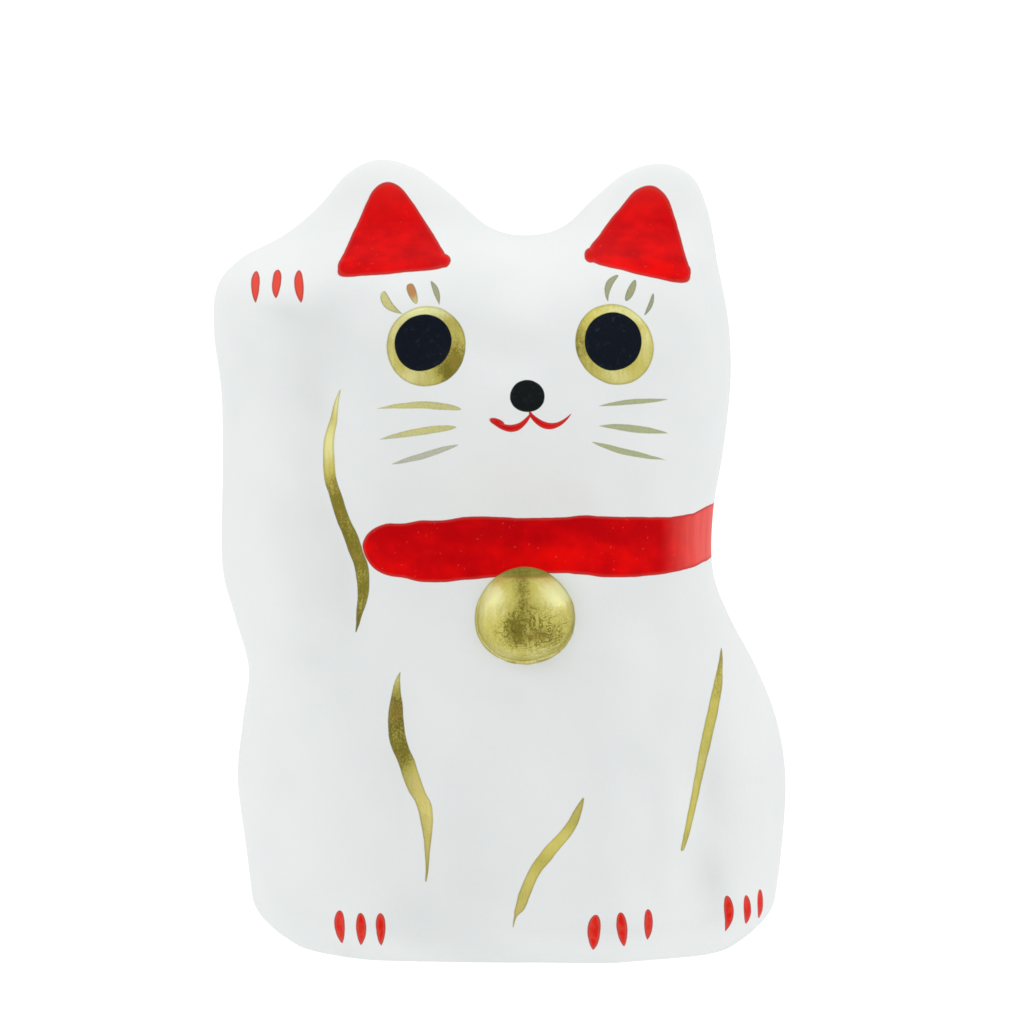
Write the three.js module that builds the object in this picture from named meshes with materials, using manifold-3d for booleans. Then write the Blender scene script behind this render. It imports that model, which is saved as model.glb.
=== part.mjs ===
// A lucky cat of moulded paper, sitting with its right paw raised beside its head.
// The whole cat, bell included, is one moulding, so it is one solid with a flat underside.
//
// Millimetres, +Z up. The cat faces -Y, and its right side is towards -X.
// The form is a front face and a back face that meet along the cat's outline. At a place
// (x, z) inside the outline, the front stands so far before the mid-plane as
//     fullness(x, z) * roundness(x, z)
// where fullness is a smooth curve of the height plus soft lumps for the paw, cheeks, thighs
// and feet, and roundness falls from one to nothing near the outline, as a rounded rim does.
// The back is made the same way.

import * as THREE from 'three';
import { mergeVertices } from 'three/addons/utils/BufferGeometryUtils.js';
import Module from 'manifold-3d';

// Driving dimensions
const HEIGHT = 120;            // floor to ear tip
const SPINE_X = 3.5;           // the line through nose, bell and chest
const RIM_ROUND = 13;          // how far in from the outline the surface takes to grow full
const SIDE_REACH = 38;         // from the spine to where a side has lost SIDE_LOSS of its depth
const SIDE_LOSS = 0.3;
const SEAM_BELOW = 80;         // the seam is carried on below the floor, so that the foot stays full
const FOOT_HEIGHT = 7;         // the lowest edge is turned in over this height
const FOOT_TURN = 0.135;       // and by this share of its distance from the middle of the base
const COLUMNS = 42;            // faces across the cat
const ROWS = 44;               // faces from the floor to the ear tips
const BELL = { x: 3.8, z: 51.7, radiusX: 7.6, radiusZ: 7.0, depth: 5.6, proud: 4.4 };
const GROUND_WHITE = 0xe6eaea;

// The outline from the floor up the cat's right side, over paw and ears, and down its left side
const RIGHT_SIDE = [
  [-37.2, 0], [-37.8, 5], [-38.9, 14], [-40.2, 25],         // thigh
  [-39.4, 34], [-38.5, 42], [-40.6, 50], [-42.5, 58],       // elbow
  [-42.4, 72], [-42.5, 84], [-43.6, 94], [-43.0, 100.8],    // raised arm and paw
  [-39.4, 105.0], [-33, 108.4], [-27.6, 112.8], [-23.2, 117.8],
];
const CROWN = [
  [-18.4, 119.9], [-13, 118.6], [-7.4, 114.6], [-1.8, 109.8],
  [3.5, 108.4], [9.4, 109.6], [14.5, 114.2], [19.4, 118.0],
];
const LEFT_SIDE = [
  [24.8, 119.3], [29.4, 117.2], [31.8, 111.8], [33.2, 104.2], // ear
  [34.9, 95], [35.2, 86], [34.1, 75.5], [32.6, 66],           // cheek and neck
  [32.6, 57], [35.1, 50], [39.3, 42], [42.4, 34],             // shoulder
  [43.8, 25], [43.2, 14], [42.0, 5], [41.4, 0],               // haunch
];

// Depth before and behind the mid-plane by height
const FRONT_DEPTH = [
  [0, 31], [8, 31.5], [20, 31], [35, 29.5], [50, 27], [58, 25.3], [66, 25.2], [74, 26.5], [84, 28],
  [94, 27.5], [100, 25.8], [105, 21.8], [108, 16.5], [111, 12.2], [115, 9.4], [120, 7.6],
];
const BACK_DEPTH = [
  [0, 31], [8, 34], [20, 36], [32, 35], [45, 31], [56, 27], [65, 25], [75, 25.5], [86, 26.5],
  [94, 25.6], [100, 23.4], [105, 19.4], [108, 14.4], [111, 10.6], [115, 8.2], [120, 7],
];
// The mid-plane itself leans forward at the head and paw
const LEAN = [
  { x: 4, z: 92, reachX: 60, reachZ: 26, rise: 3 },
  { x: -38, z: 99, reachX: 12, reachZ: 12, rise: 2.5 },
];

// Soft lumps on the front: where, how far they reach, and how far they rise (a minus is a hollow)
const FRONT_LUMPS = [
  { x: 4, z: 83, reachX: 13, reachZ: 8, rise: 3.2 },          // muzzle
  { x: -12, z: 78, reachX: 9, reachZ: 8, rise: 0.8 },         // cheeks
  { x: 20, z: 78, reachX: 9, reachZ: 8, rise: 0.8 },
  { x: 4, z: 69, reachX: 18, reachZ: 5, rise: -1.4 },         // under the chin
  { x: 4, z: 101, reachX: 16, reachZ: 8, rise: 0.8 },         // forehead
  { x: -44, z: 80, reachX: 9, reachZ: 26, rise: -4.4 },       // the arm is thinner than the head
  { x: -35, z: 100.5, reachX: 8, reachZ: 6.5, rise: 7.5 },    // paw
  { x: -34, z: 89.5, reachX: 8, reachZ: 5.5, rise: -1.6 },    // below the paw
  { x: -34.5, z: 72, reachX: 6.5, reachZ: 17, rise: 1.6 },    // forearm
  { x: -33, z: 57, reachX: 8, reachZ: 8, rise: 3.2 },         // elbow
  { x: -25.8, z: 82, reachX: 4.4, reachZ: 19, rise: -2.5 },   // groove between arm and cheek
  { x: -21.5, z: 55, reachX: 3.4, reachZ: 9, rise: -1.5 },    // groove between elbow and chest
  { x: -29, z: 46.5, reachX: 11, reachZ: 4.5, rise: -1.8 },   // fold between elbow and thigh
  { x: -25, z: 25, reachX: 12, reachZ: 16, rise: 3.3 },       // right thigh
  { x: -13.5, z: 33, reachX: 3.8, reachZ: 13, rise: -1.5 },   // inside of that thigh
  { x: 3, z: 54, reachX: 14, reachZ: 9, rise: 1.2 },          // chest
  { x: -3, z: 15, reachX: 7.5, reachZ: 11, rise: -2.8 },      // hollow between the legs
  { x: 17, z: 24, reachX: 8, reachZ: 20, rise: 2.8 },         // left foreleg
  { x: 30.5, z: 28, reachX: 3.4, reachZ: 17, rise: -1.6 },    // fold before the haunch
  { x: 25.7, z: 20, reachX: 2.5, reachZ: 14, rise: 0.8 },     // edge of the foreleg
  { x: 39, z: 24, reachX: 7.5, reachZ: 15, rise: 2.6 },       // left haunch
  { x: -21, z: 5, reachX: 9.5, reachZ: 6, rise: 3.6 },        // right hind foot
  { x: 19, z: 5, reachX: 10, reachZ: 5.5, rise: 3.6 },        // forefoot
  { x: 37.5, z: 6.5, reachX: 6, reachZ: 5.5, rise: 4.4 },     // left hind foot
  { x: 31, z: 12, reachX: 3, reachZ: 4, rise: -1.2 },         // dimples above the feet
  { x: -12, z: 7, reachX: 3, reachZ: 5, rise: -1.6 },
];

const BACK_LUMPS = [
  { x: -24, z: 20, reachX: 13, reachZ: 16, rise: 2.4 },       // haunches
  { x: 31, z: 20, reachX: 12, reachZ: 16, rise: 2.4 },
  { x: 3.5, z: 62, reachX: 22, reachZ: 6, rise: -1.4 },       // nape
  { x: -38, z: 82, reachX: 14, reachZ: 28, rise: -4.5 },      // the arm is thinner than the head
  { x: -35.5, z: 84, reachX: 6, reachZ: 22, rise: 1.8 },      // back of the raised arm
  { x: -25.8, z: 82, reachX: 4.4, reachZ: 20, rise: -2.2 },   // groove between arm and head
  { x: -27, z: 46, reachX: 12, reachZ: 5, rise: -1.5 },       // fold below the elbow
];

// The tail lies on the back: an arc of round ridge from the middle of the base, up and round
const TAIL = {
  centreX: 5, centreZ: 18, radius: 13, fromDegrees: -112, toDegrees: 78, halfWidth: 4.6, rise: 2.8,
};

// Smooth curve through [height, value] pairs, each slope taken from the two neighbours
function curveByHeight(pairs) {
  const last = pairs.length - 1;
  const slopes = pairs.map((pair, i) => {
    const before = pairs[Math.max(i - 1, 0)];
    const after = pairs[Math.min(i + 1, last)];
    return (after[1] - before[1]) / (after[0] - before[0]);
  });
  return (z) => {
    let i = 0;
    while (i < last - 1 && z > pairs[i + 1][0]) i += 1;
    const span = pairs[i + 1][0] - pairs[i][0];
    const t = THREE.MathUtils.clamp((z - pairs[i][0]) / span, 0, 1);
    const ease = t * t * (3 - 2 * t);
    const leave = t * (1 - t) * (1 - t);
    const arrive = t * t * (t - 1);
    return pairs[i][1] * (1 - ease) + pairs[i + 1][1] * ease
      + span * (leave * slopes[i] + arrive * slopes[i + 1]);
  };
}

const frontDepth = curveByHeight(FRONT_DEPTH);
const backDepth = curveByHeight(BACK_DEPTH);

// Sum of bell-shaped lumps
function lumps(list, x, z) {
  let sum = 0;
  for (const lump of list) {
    const across = (x - lump.x) / lump.reachX;
    const up = (z - lump.z) / lump.reachZ;
    sum += lump.rise * Math.exp(-across * across - up * up);
  }
  return sum;
}

// The outline as one smooth line, cut at the two ear tips
const seam = new THREE.SplineCurve(
  [...RIGHT_SIDE, ...CROWN, ...LEFT_SIDE].map(([x, z]) => new THREE.Vector2(x, z)),
).getPoints((RIGHT_SIDE.length + CROWN.length + LEFT_SIDE.length - 1) * 16);

function highest(points, keep) {
  return points.reduce((best, p, i) => (keep(p) && (best < 0 || p.y > points[best].y) ? i : best), -1);
}
const rightTip = highest(seam, (p) => p.x < SPINE_X);
const leftTip = highest(seam, (p) => p.x > SPINE_X);
const rightLine = seam.slice(0, rightTip + 1);
const crownLine = seam.slice(rightTip, leftTip + 1);
const leftLine = seam.slice(leftTip).reverse();

// Value of one coordinate where the other one reaches a given number, on a line that only rises in it
function lookUp(line, known, wanted, value) {
  let i = 0;
  while (i < line.length - 2 && line[i + 1][known] < value) i += 1;
  const span = line[i + 1][known] - line[i][known];
  const t = THREE.MathUtils.clamp((value - line[i][known]) / span, 0, 1);
  return line[i][wanted] * (1 - t) + line[i + 1][wanted] * t;
}

// A smooth distance to the seam: each straight step of it pulls with one over the cube of the
// distance, summed exactly along the step, and the root of two over the whole pull is a length
// that is the true distance near the seam and has no ridge further in.
const below = new THREE.Vector2(0, -SEAM_BELOW);
const pulling = [seam[0].clone().add(below), ...seam, seam[seam.length - 1].clone().add(below)];

function seamDistance(x, z) {
  let pull = 0;
  for (let i = 0; i < pulling.length - 1; i += 1) {
    const from = pulling[i];
    const to = pulling[i + 1];
    const length = from.distanceTo(to);
    const stepX = (to.x - from.x) / length;
    const stepZ = (to.y - from.y) / length;
    const along = (x - from.x) * stepX + (z - from.y) * stepZ;
    const aside = (x - from.x) * stepZ - (z - from.y) * stepX;
    const asideSquared = Math.max(aside * aside, 1e-10);
    const ahead = length - along;
    pull += (ahead / Math.sqrt(ahead * ahead + asideSquared)
      + along / Math.sqrt(along * along + asideSquared)) / asideSquared;
  }
  return Math.sqrt(2 / pull);
}

function roundness(x, z) {
  return Math.sqrt(1 - Math.exp(-2 * seamDistance(x, z) / RIM_ROUND));
}

// The tail's ridge: round across the arc, fading past its root and tip
function tail(x, z) {
  const angle = THREE.MathUtils.radToDeg(Math.atan2(z - TAIL.centreZ, x - TAIL.centreX));
  const middle = (TAIL.fromDegrees + TAIL.toDegrees) / 2;
  const turned = angle - middle - 360 * Math.round((angle - middle) / 360);
  const half = (TAIL.toDegrees - TAIL.fromDegrees) / 2;
  const pastEnd = Math.max(Math.abs(turned) - half, 0) * THREE.MathUtils.DEG2RAD * TAIL.radius;
  const aside = Math.hypot(x - TAIL.centreX, z - TAIL.centreZ) - TAIL.radius;
  const away = Math.hypot(aside, pastEnd) / TAIL.halfWidth;
  return TAIL.rise * Math.exp(-(away ** 2.4));
}

// The surface point for a share u across the cat, a share v of the way up, and a side (-1 front, 1 back)
function surfacePoint(u, v, side) {
  const drawnX = THREE.MathUtils.lerp(
    lookUp(rightLine, 'y', 'x', v * rightLine[rightLine.length - 1].y),
    lookUp(leftLine, 'y', 'x', v * leftLine[leftLine.length - 1].y),
    u,
  );
  const topX = THREE.MathUtils.lerp(crownLine[0].x, crownLine[crownLine.length - 1].x, u);
  const z = v * lookUp(crownLine, 'x', 'y', topX);
  const onSeam = u === 0 || u === 1 || v === 1;
  const across = (drawnX - SPINE_X) / SIDE_REACH;
  const broad = 1 - SIDE_LOSS * across * across;
  const depth = side < 0
    ? frontDepth(z) * broad + lumps(FRONT_LUMPS, drawnX, z)
    : backDepth(z) * broad + lumps(BACK_LUMPS, drawnX, z) + tail(drawnX, z);
  const midPlane = -lumps(LEAN, drawnX, z);
  const y = midPlane + (onSeam ? 0 : side * depth * roundness(drawnX, z));
  const turnIn = 1 - FOOT_TURN * Math.max(1 - z / FOOT_HEIGHT, 0) ** 2;
  return new THREE.Vector3(SPINE_X + (drawnX - SPINE_X) * turnIn, y * turnIn, z);
}

// Shares that lie closer together at both ends, where the surface turns over
function share(i, count) {
  return (1 - Math.cos(Math.PI * i / count)) / 2;
}

// One closed skin: front and back grids that share their rim, and a flat underside
function bodyGeometry() {
  const positions = [];
  const faces = [];
  const add = (point) => positions.push(point.x, point.y, point.z) / 3 - 1;
  const front = [];
  const back = [];
  for (let j = 0; j <= ROWS; j += 1) {
    front.push([]);
    back.push([]);
    for (let i = 0; i <= COLUMNS; i += 1) {
      const u = share(i, COLUMNS);
      const v = share(j, ROWS);
      const shared = i === 0 || i === COLUMNS || j === ROWS;
      front[j].push(add(surfacePoint(u, v, -1)));
      back[j].push(shared ? front[j][i] : add(surfacePoint(u, v, 1)));
    }
  }
  const quad = (a, b, c, d) => {
    if (a !== b && b !== c && c !== a) faces.push(a, b, c);
    if (a !== c && c !== d && d !== a) faces.push(a, c, d);
  };
  for (let i = 0; i < COLUMNS; i += 1) {
    for (let j = 0; j < ROWS; j += 1) {
      quad(front[j][i], front[j][i + 1], front[j + 1][i + 1], front[j + 1][i]);
      quad(back[j][i + 1], back[j][i], back[j + 1][i], back[j + 1][i + 1]);
    }
    quad(front[0][i + 1], front[0][i], back[0][i], back[0][i + 1]);
  }
  const geometry = new THREE.BufferGeometry();
  geometry.setAttribute('position', new THREE.Float32BufferAttribute(positions, 3));
  geometry.setIndex(faces);
  return geometry;
}

// The bell is a low dome, moulded on under the collar
function bellGeometry() {
  const geometry = new THREE.SphereGeometry(1, 28, 18);
  geometry.rotateX(Math.PI / 2);
  geometry.scale(BELL.radiusX, BELL.depth, BELL.radiusZ);
  const across = (BELL.x - SPINE_X) / SIDE_REACH;
  const chest = (frontDepth(BELL.z) * (1 - SIDE_LOSS * across * across) + lumps(FRONT_LUMPS, BELL.x, BELL.z))
    * roundness(BELL.x, BELL.z) + lumps(LEAN, BELL.x, BELL.z);
  geometry.translate(BELL.x, -chest - BELL.proud + BELL.depth, BELL.z);
  return geometry;
}

const wasm = await Module();
wasm.setup();

function solid(geometry) {
  const bare = geometry.clone();
  bare.deleteAttribute('normal');
  bare.deleteAttribute('uv');
  const merged = mergeVertices(bare);
  return new wasm.Manifold(new wasm.Mesh({
    numProp: 3,
    vertProperties: new Float32Array(merged.attributes.position.array),
    triVerts: new Uint32Array(merged.index.array),
  }));
}

function joined(first, second) {
  const mesh = solid(first).add(solid(second)).getMesh();
  const geometry = new THREE.BufferGeometry();
  geometry.setAttribute('position', new THREE.Float32BufferAttribute(mesh.vertProperties, 3));
  geometry.setIndex(Array.from(mesh.triVerts));
  return geometry;
}

// The finished cat, with its origin under the middle of its box and its height made exact
const catGeometry = joined(bodyGeometry(), bellGeometry());
catGeometry.computeBoundingBox();
const box = catGeometry.boundingBox;
catGeometry.translate(-(box.min.x + box.max.x) / 2, -(box.min.y + box.max.y) / 2, -box.min.z);
catGeometry.scale(1, 1, HEIGHT / (box.max.z - box.min.z));
catGeometry.computeVertexNormals();

const luckyCat = new THREE.Mesh(
  catGeometry,
  new THREE.MeshStandardMaterial({ color: GROUND_WHITE, roughness: 0.55, metalness: 0 }),
);
luckyCat.name = 'lucky_cat';

const figurine = new THREE.Group();
figurine.add(luckyCat);

export default figurine;
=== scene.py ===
import math

import bpy
import numpy as np
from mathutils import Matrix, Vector


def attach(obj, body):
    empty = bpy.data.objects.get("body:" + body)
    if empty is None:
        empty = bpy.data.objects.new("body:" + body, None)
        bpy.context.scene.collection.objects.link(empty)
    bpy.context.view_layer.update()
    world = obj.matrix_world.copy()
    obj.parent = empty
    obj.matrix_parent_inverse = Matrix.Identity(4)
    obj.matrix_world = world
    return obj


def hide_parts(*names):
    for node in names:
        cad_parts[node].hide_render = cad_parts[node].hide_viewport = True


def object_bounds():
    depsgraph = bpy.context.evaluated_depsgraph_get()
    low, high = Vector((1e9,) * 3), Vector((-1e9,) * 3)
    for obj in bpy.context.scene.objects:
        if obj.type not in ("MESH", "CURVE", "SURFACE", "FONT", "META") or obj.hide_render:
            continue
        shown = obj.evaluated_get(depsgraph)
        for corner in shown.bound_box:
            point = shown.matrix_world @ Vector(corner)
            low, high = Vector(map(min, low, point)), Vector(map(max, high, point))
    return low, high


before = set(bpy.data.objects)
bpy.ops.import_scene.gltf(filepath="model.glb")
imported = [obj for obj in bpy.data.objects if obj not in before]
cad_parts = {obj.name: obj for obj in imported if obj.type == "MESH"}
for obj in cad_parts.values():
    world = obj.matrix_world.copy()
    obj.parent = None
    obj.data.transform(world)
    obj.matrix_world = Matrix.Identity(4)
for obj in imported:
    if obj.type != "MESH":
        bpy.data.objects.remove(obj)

# The lucky cat's looks: its moulded-paper skin as one surface worked out from the cat's own
# sizes, and its brush paint as one material. Sizes are millimetres in the cat's drawn frame:
# x to the cat's left, z up from the floor, y negative in front. place_in_row() sets the skin
# into the frame's box, in metres.
CAD_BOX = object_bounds()
MM = 0.001

# Sizes shared with the solid
SPINE_X = 3.5
RIM_ROUND = 13.0
SIDE_REACH = 38.0
SIDE_LOSS = 0.3
SEAM_BELOW = 80.0
FOOT_HEIGHT = 7.0
FOOT_TURN = 0.135
BELL = dict(x=3.8, z=51.7, radius_x=7.6, radius_z=7.0, depth=5.6, proud=4.4)

RIGHT_SIDE = [
    (-37.2, 0), (-37.8, 5), (-38.9, 14), (-40.2, 25),
    (-39.4, 34), (-38.5, 42), (-40.6, 50), (-42.5, 58),
    (-42.4, 72), (-42.5, 84), (-43.6, 94), (-43.0, 100.8),
    (-39.4, 105.0), (-33, 108.4), (-27.6, 112.8), (-23.2, 117.8),
]
CROWN = [
    (-18.4, 119.9), (-13, 118.6), (-7.4, 114.6), (-1.8, 109.8),
    (3.5, 108.4), (9.4, 109.6), (14.5, 114.2), (19.4, 118.0),
]
LEFT_SIDE = [
    (24.8, 119.3), (29.4, 117.2), (31.8, 111.8), (33.2, 104.2),
    (34.9, 95), (35.2, 86), (34.1, 75.5), (32.6, 66),
    (32.6, 57), (35.1, 50), (39.3, 42), (42.4, 34),
    (43.8, 25), (43.2, 14), (42.0, 5), (41.4, 0),
]
FRONT_DEPTH = [
    (0, 31), (8, 31.5), (20, 31), (35, 29.5), (50, 27), (58, 25.3), (66, 25.2), (74, 26.5), (84, 28),
    (94, 27.5), (100, 25.8), (105, 21.8), (108, 16.5), (111, 12.2), (115, 9.4), (120, 7.6),
]
BACK_DEPTH = [
    (0, 31), (8, 34), (20, 36), (32, 35), (45, 31), (56, 27), (65, 25), (75, 25.5), (86, 26.5),
    (94, 25.6), (100, 23.4), (105, 19.4), (108, 14.4), (111, 10.6), (115, 8.2), (120, 7),
]

# Lumps as (x, z, reach in x, reach in z, rise)
LEAN = [(4, 92, 60, 26, 3), (-38, 99, 12, 12, 2.5)]
FRONT_LUMPS = [
    (4, 83, 13, 8, 3.2),            # muzzle
    (-12, 78, 9, 8, 0.8),           # cheeks
    (20, 78, 9, 8, 0.8),
    (4, 69, 18, 5, -1.4),           # under the chin
    (4, 101, 16, 8, 0.8),           # forehead
    (-44, 80, 9, 26, -4.4),         # the arm is thinner than the head
    (-35, 100.5, 8, 6.5, 7.5),      # paw
    (-34, 89.5, 8, 5.5, -1.6),      # below the paw
    (-34.5, 72, 6.5, 17, 1.6),      # forearm
    (-33, 57, 8, 8, 3.2),           # elbow
    (-25.8, 82, 4.4, 19, -2.5),     # groove between arm and cheek
    (-21.5, 55, 3.4, 9, -1.5),      # groove between elbow and chest
    (-29, 46.5, 11, 4.5, -1.8),     # fold between elbow and thigh
    (-25, 25, 12, 16, 3.3),         # right thigh
    (-13.5, 33, 3.8, 13, -1.5),     # inside of that thigh
    (3, 54, 14, 9, 1.2),            # chest
    (-3, 15, 7.5, 11, -2.8),        # hollow between the legs
    (17, 24, 8, 20, 2.8),           # left foreleg
    (30.5, 28, 3.4, 17, -1.6),      # fold before the haunch
    (25.7, 20, 2.5, 14, 0.8),       # edge of the foreleg
    (39, 24, 7.5, 15, 2.6),         # left haunch
    (-21, 5, 9.5, 6, 3.6),          # right hind foot
    (19, 5, 10, 5.5, 3.6),          # forefoot
    (37.5, 6.5, 6, 5.5, 4.4),       # left hind foot
    (31, 12, 3, 4, -1.2),           # dimples above the feet
    (-12, 7, 3, 5, -1.6),
]
BACK_LUMPS = [
    (-24, 20, 13, 16, 2.4),         # haunches
    (31, 20, 12, 16, 2.4),
    (3.5, 62, 22, 6, -1.4),         # nape
    (-38, 82, 14, 28, -4.5),        # the arm is thinner than the head
    (-35.5, 84, 6, 22, 1.8),        # back of the raised arm
    (-25.8, 82, 4.4, 20, -2.2),     # groove between arm and head
    (-27, 46, 12, 5, -1.5),         # fold below the elbow
]
TAIL = dict(x=5, z=18, radius=13, start=-112, end=78, half_width=4.6, rise=2.8)

# The visible bell nearly fills its gold spot, and its top is flattened from the shoulder up
BELL_DOME = dict(z=52.55, radius_x=7.35, radius_z=7.0, shoulder=58.2, spare=0.45)
BELL_NARROW = 0.07       # share by which the bell is narrower at its top, and broader at its foot
BELL_DENT = 0.012
BELL_RINGS = 48
BELL_MERIDIANS = 88

# The skin's own grid and its hand-made unevenness
COLUMNS = 208
ROWS = 222
SEAM_STEPS = 28
UNEVEN_WAVES = 26
UNEVEN_RISE = 0.055
UNEVEN_LENGTHS = (7.0, 24.0)
UNEVEN_SEED = 11

# The paint's map: where front and back start across it and how broad they are, and the base's
# middle and its scale for each millimetre of y and x
FRONT_MAP = (0.005, 0.625)
BACK_MAP = (0.665, 0.33)
BASE_MAP = ((0.645, 0.5), (0.0002, 0.005))
MAP_MARGIN = 0.005
MAP_BY_ANGLE = 0.4       # share of the map's width that follows the angle round the cat

# Metres that the skin may stand over the CAD box at a side
BOX_SPARE = 0.00005


def spline(points, steps):
    """A Catmull-Rom line: each stretch is the cubic that leaves a point along its neighbours' chord."""
    p = np.array(points, float)
    p = np.vstack([p[:1], p, p[-1:]])
    t = (np.arange(steps) / steps)[None, :, None]
    a, b, c, d = (p[k:len(p) - 3 + k, None, :] for k in range(4))
    line = 0.5 * (2 * b + (c - a) * t + (2 * a - 5 * b + 4 * c - d) * t**2 + (3 * b - a - 3 * c + d) * t**3)
    return np.vstack([line.reshape(-1, 2), p[-1:]])


def curve_by_height(pairs, z):
    """A cubic through (height, value) pairs, each slope being the chord of the two neighbours."""
    height, value = np.array(pairs, float).T
    before = np.maximum(np.arange(len(height)) - 1, 0)
    after = np.minimum(np.arange(len(height)) + 1, len(height) - 1)
    slope = (value[after] - value[before]) / (height[after] - height[before])
    i = np.clip(np.searchsorted(height, z) - 1, 0, len(height) - 2)
    span = height[i + 1] - height[i]
    t = np.clip((z - height[i]) / span, 0, 1)
    ease = t * t * (3 - 2 * t)
    bend = t * (1 - t)**2 * slope[i] + t * t * (t - 1) * slope[i + 1]
    return value[i] * (1 - ease) + value[i + 1] * ease + span * bend


def lumps(table, x, z):
    """The sum of rises, each falling as exp(-(across / reach)^2 - (up / reach)^2) from its middle."""
    total = np.zeros_like(x)
    for at_x, at_z, reach_x, reach_z, rise in table:
        total += rise * np.exp(-((x - at_x) / reach_x)**2 - ((z - at_z) / reach_z)**2)
    return total


SEAM = spline(RIGHT_SIDE + CROWN + LEFT_SIDE, SEAM_STEPS)
RIGHT_TIP = int(np.argmax(np.where(SEAM[:, 0] < SPINE_X, SEAM[:, 1], 0)))
LEFT_TIP = int(np.argmax(np.where(SEAM[:, 0] > SPINE_X, SEAM[:, 1], 0)))
RIGHT_LINE = SEAM[:RIGHT_TIP + 1]
CROWN_LINE = SEAM[RIGHT_TIP:LEFT_TIP + 1]
LEFT_LINE = SEAM[LEFT_TIP:][::-1]


def seam_distance(x, z, chunk=2500):
    """A smooth distance to the seam: each straight step pulls as one over the distance cubed,
    summed exactly along the step, and the distance is the root of two over the whole pull."""
    below = np.array([0.0, -SEAM_BELOW])
    ends = np.vstack([SEAM[:1] + below, SEAM, SEAM[-1:] + below])
    start = ends[:-1]
    step = ends[1:] - start
    length = np.hypot(step[:, 0], step[:, 1])
    step = step / length[:, None]
    flat_x, flat_z = x.ravel(), z.ravel()
    out = np.empty(flat_x.size)
    for first in range(0, flat_x.size, chunk):
        part = slice(first, first + chunk)
        off_x = flat_x[part, None] - start[:, 0]
        off_z = flat_z[part, None] - start[:, 1]
        along = off_x * step[:, 0] + off_z * step[:, 1]
        aside = np.maximum((off_x * step[:, 1] - off_z * step[:, 0])**2, 1e-10)
        ahead = length - along
        pull = (ahead / np.sqrt(ahead**2 + aside) + along / np.sqrt(along**2 + aside)) / aside
        out[part] = np.sqrt(2 / pull.sum(axis=1))
    return out.reshape(x.shape)


def roundness(x, z):
    """sqrt(1 - exp(-2 d / RIM_ROUND)) at distance d from the seam: it leaves nothing there as a round
    edge does, and nears one inside."""
    return np.sqrt(1 - np.exp(-2 * seam_distance(x, z) / RIM_ROUND))


def tail(x, z):
    """A ridge along an arc: its rise times exp(-(distance from the arc / half width)^2.4)."""
    angle = np.degrees(np.arctan2(z - TAIL["z"], x - TAIL["x"]))
    middle = (TAIL["start"] + TAIL["end"]) / 2
    turned = angle - middle - 360 * np.round((angle - middle) / 360)
    past_end = np.maximum(np.abs(turned) - (TAIL["end"] - TAIL["start"]) / 2, 0)
    aside = np.hypot(x - TAIL["x"], z - TAIL["z"]) - TAIL["radius"]
    away = np.hypot(aside, np.radians(past_end) * TAIL["radius"]) / TAIL["half_width"]
    return TAIL["rise"] * np.exp(-away**2.4)


def uneven(x, z, seed):
    """The paper's slow unevenness: seeded sine waves of many lengths and directions, added up."""
    dice = np.random.default_rng(seed)
    total = np.zeros_like(x)
    for _ in range(UNEVEN_WAVES):
        turn = dice.uniform(0, 2 * math.pi)
        length = math.exp(dice.uniform(math.log(UNEVEN_LENGTHS[0]), math.log(UNEVEN_LENGTHS[1])))
        phase = dice.uniform(0, 2 * math.pi)
        total += np.sin((x * math.cos(turn) + z * math.sin(turn)) * 2 * math.pi / length + phase)
    return total * UNEVEN_RISE


def broad(x):
    """One at the spine, less SIDE_LOSS at SIDE_REACH from it, as a parabola."""
    return 1 - SIDE_LOSS * ((x - SPINE_X) / SIDE_REACH)**2


def front_y(x, z, round_edge, unevenness=0.0):
    """The front face: the leaning mid-plane less fullness times roundness."""
    full = curve_by_height(FRONT_DEPTH, z) * broad(x) + lumps(FRONT_LUMPS, x, z) + unevenness
    return -lumps(LEAN, x, z) - full * round_edge


def back_y(x, z, round_edge, unevenness=0.0):
    """The back face: the leaning mid-plane plus fullness times roundness, with the tail's ridge."""
    full = curve_by_height(BACK_DEPTH, z) * broad(x) + lumps(BACK_LUMPS, x, z) + tail(x, z) + unevenness
    return -lumps(LEAN, x, z) + full * round_edge


def cosine_share(count):
    """Shares from 0 to 1 that lie closer together at both ends: (1 - cos) / 2."""
    return (1 - np.cos(np.pi * np.arange(count + 1) / count)) / 2


def skin_grid():
    """Drawn x and z for shares u across and v up: x between the two sides at that height, and
    z as v times the crown's height over that column. Also the shares, for the paint's map."""
    u, v = np.meshgrid(cosine_share(COLUMNS), cosine_share(ROWS))
    side = [np.interp(v * line[-1, 1], line[:, 1], line[:, 0]) for line in (RIGHT_LINE, LEFT_LINE)]
    x = side[0] * (1 - u) + side[1] * u
    top_x = CROWN_LINE[0, 0] * (1 - u) + CROWN_LINE[-1, 0] * u
    z = v * np.interp(top_x, CROWN_LINE[:, 0], CROWN_LINE[:, 1])
    return x, z, u, v


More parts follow.
